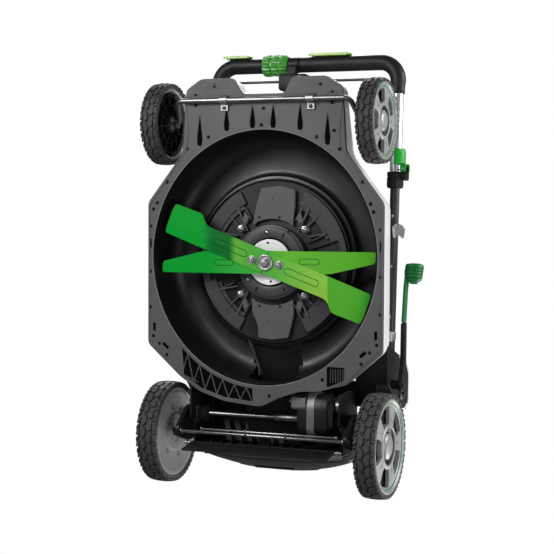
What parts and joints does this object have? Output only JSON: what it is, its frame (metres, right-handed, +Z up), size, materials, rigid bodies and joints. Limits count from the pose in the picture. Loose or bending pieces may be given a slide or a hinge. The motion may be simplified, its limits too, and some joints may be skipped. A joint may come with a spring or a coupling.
{
  "type": "push lawn mower",
  "caption": "Battery push lawn mower with self-drive, twin crossed cutting blades, height lever, rear discharge and a telescoping handle folded forward over the deck.",
  "frame": {"origin": "centre of the base of the folded mower's box, on the ground under the wheels", "axes": "+Z up, -Y towards the mower's front, +X towards the operator's left"},
  "size_m": [0.619, 1.0384, 0.3689],
  "materials": {
    "charcoal_plastic": "moulded, fine grain",
    "silver_shell": "satin silver-grey",
    "black_plastic": "satin moulded black",
    "black_tube": "satin black",
    "bail_wire": "satin dark grey",
    "silver_tube": "brushed",
    "wheel_silver": "silver moulded plastic",
    "tyre_rubber": "dull block tread",
    "flap_rubber": "dull",
    "grip_foam": "soft matte",
    "blade_green": "semi-gloss powder coat",
    "green_plastic": "semi-gloss",
    "bright_steel": "zinc plated",
    "cast_aluminium": "machined",
    "lamp_lens": "clear"
  },
  "bodies": {
    "deck": {"deck_base": "charcoal_plastic", "deck_shell": "silver_shell", "chamber_liner": "black_plastic", "motor_mount": "charcoal_plastic", "motor_cover_ring": "black_plastic", "motor_stator": "cast_aluminium", "motor_hood": "charcoal_plastic", "headlight": "lamp_lens", "battery_tray": "black_plastic", "battery_pack": "black_plastic", "axle_clip_left": "bright_steel", "axle_clip_right": "bright_steel", "drive_gearbox": "black_plastic", "rear_housing": "black_plastic", "handle_bracket_left": "black_plastic", "handle_bracket_right": "black_plastic", "height_quadrant": "bright_steel"},
    "spindle": {"spindle_shaft": "bright_steel", "motor_rotor": "cast_aluminium", "blade_flange": "cast_aluminium", "blade_upper": "blade_green", "blade_lower": "blade_green", "blade_bolt": "bright_steel", "blade_nut_left": "bright_steel", "blade_nut_right": "bright_steel"},
    "front_crank": {"front_axle": "bright_steel"},
    "wheel_front_left": {"tyre_front_left": "tyre_rubber", "rim_front_left": "wheel_silver"},
    "wheel_front_right": {"tyre_front_right": "tyre_rubber", "rim_front_right": "wheel_silver"},
    "rear_carriage": {"rear_arm_left": "black_plastic", "rear_arm_right": "black_plastic", "tie_rod": "bright_steel"},
    "wheel_rear_left": {"tyre_rear_left": "tyre_rubber", "rim_rear_left": "wheel_silver"},
    "wheel_rear_right": {"tyre_rear_right": "tyre_rubber", "rim_rear_right": "wheel_silver"},
    "drive_line": {"drive_shaft": "bright_steel", "pinion_left": "bright_steel", "pinion_right": "bright_steel"},
    "flap": {"trailing_flap": "flap_rubber"},
    "rear_cover": {"rear_door": "black_plastic"},
    "battery_cover": {"battery_door": "charcoal_plastic"},
    "lever": {"height_lever": "black_plastic", "lever_knob": "green_plastic"},
    "handle_lower": {"lower_tube_left": "black_tube", "lower_tube_right": "black_tube"},
    "handle_upper": {"upper_tube": "silver_tube", "grip_left": "grip_foam", "grip_right": "grip_foam", "clamp_collar_left": "black_plastic", "clamp_collar_right": "black_plastic", "control_housing": "black_plastic"},
    "clamp_left": {"clamp_lever_left": "green_plastic"},
    "clamp_right": {"clamp_lever_right": "green_plastic"},
    "bail_bar": {"bail": "bail_wire"},
    "dial": {"speed_dial": "green_plastic"},
    "button": {"start_button": "green_plastic"},
    "paddle_left": {"drive_paddle_left": "green_plastic"},
    "paddle_right": {"drive_paddle_right": "green_plastic"}
  },
  "joints": [
    {"name": "spindle_spin", "type": "hinge", "parent": "deck", "child": "spindle", "pos_m": [-0.0155, -0.01486, 0.1], "axis": [0, 0, 1], "continuous": true},
    {"name": "height_lever_swing", "type": "hinge", "parent": "deck", "child": "lever", "pos_m": [0.2705, 0.27014, 0.222], "axis": [1, 0, 0], "range_deg": [-20, 20]},
    {"name": "front_crank_swing", "type": "hinge", "parent": "deck", "child": "front_crank", "pos_m": [-0.0155, -0.38686, 0.054], "axis": [1, 0, 0], "range_deg": [-20, 20]},
    {"name": "rear_carriage_swing", "type": "hinge", "parent": "deck", "child": "rear_carriage", "pos_m": [-0.0155, 0.34814, 0.12], "axis": [1, 0, 0], "range_deg": [-20, 20]},
    {"name": "wheel_front_left_spin", "type": "hinge", "parent": "front_crank", "child": "wheel_front_left", "pos_m": [0.2475, -0.33686, 0.097], "axis": [1, 0, 0], "continuous": true},
    {"name": "wheel_front_right_spin", "type": "hinge", "parent": "front_crank", "child": "wheel_front_right", "pos_m": [-0.2785, -0.33686, 0.097], "axis": [1, 0, 0], "continuous": true},
    {"name": "wheel_rear_left_spin", "type": "hinge", "parent": "rear_carriage", "child": "wheel_rear_left", "pos_m": [0.253, 0.39864, 0.121], "axis": [1, 0, 0], "continuous": true},
    {"name": "wheel_rear_right_spin", "type": "hinge", "parent": "rear_carriage", "child": "wheel_rear_right", "pos_m": [-0.284, 0.39864, 0.121], "axis": [1, 0, 0], "continuous": true},
    {"name": "drive_shaft_spin", "type": "hinge", "parent": "deck", "child": "drive_line", "pos_m": [-0.0155, 0.34814, 0.12], "axis": [1, 0, 0], "continuous": true},
    {"name": "flap_swing", "type": "hinge", "parent": "deck", "child": "flap", "pos_m": [-0.0155, 0.41214, 0.064], "axis": [1, 0, 0], "range_deg": [-8, 50]},
    {"name": "rear_door_swing", "type": "hinge", "parent": "deck", "child": "rear_cover", "pos_m": [-0.0055, 0.42914, 0.263], "axis": [1, 0, 0], "range_deg": [0, 80], "stiffness_Nm_per_rad": 0.4},
    {"name": "battery_door_swing", "type": "hinge", "parent": "deck", "child": "battery_cover", "pos_m": [-0.0155, -0.14686, 0.322], "axis": [1, 0, 0], "range_deg": [0, 95]},
    {"name": "handle_fold", "type": "hinge", "parent": "deck", "child": "handle_lower", "pos_m": [-0.0155, 0.29714, 0.288], "axis": [-1, 0, 0], "range_deg": [0, 130]},
    {"name": "handle_telescope", "type": "slide", "parent": "handle_lower", "child": "handle_upper", "axis": [0, -0.9977, 0.0684], "range_m": [0, 0.17]},
    {"name": "clamp_left_swing", "type": "hinge", "parent": "handle_upper", "child": "clamp_left", "pos_m": [0.2425, -0.23361, 0.32437], "axis": [0, 0.0684, 0.9977], "range_deg": [0, 90]},
    {"name": "clamp_right_swing", "type": "hinge", "parent": "handle_upper", "child": "clamp_right", "pos_m": [-0.2735, -0.23361, 0.32437], "axis": [0, -0.0684, -0.9977], "range_deg": [0, 90]},
    {"name": "bail_swing", "type": "hinge", "parent": "handle_upper", "child": "bail_bar", "pos_m": [-0.0155, -0.42343, 0.33137], "axis": [1, 0, 0], "range_deg": [0, 28], "stiffness_Nm_per_rad": 1},
    {"name": "speed_dial_turn", "type": "hinge", "parent": "handle_upper", "child": "dial", "pos_m": [-0.0945, -0.49086, 0.342], "axis": [1, 0, 0], "range_deg": [-50, 50]},
    {"name": "start_button_press", "type": "slide", "parent": "handle_upper", "child": "button", "axis": [0, 0.0684, 0.9977], "range_m": [0, 0.003], "stiffness_N_per_m": 300},
    {"name": "paddle_left_press", "type": "slide", "parent": "handle_upper", "child": "paddle_left", "axis": [0, 0.9977, -0.0684], "range_m": [0, 0.003], "stiffness_N_per_m": 400},
    {"name": "paddle_right_press", "type": "slide", "parent": "handle_upper", "child": "paddle_right", "axis": [0, 0.9977, -0.0684], "range_m": [0, 0.003], "stiffness_N_per_m": 400}
  ],
  "couplings": [
    {"joint": "front_crank_swing", "follows": "height_lever_swing", "ratio": 1},
    {"joint": "rear_carriage_swing", "follows": "height_lever_swing", "ratio": 1}
  ]
}
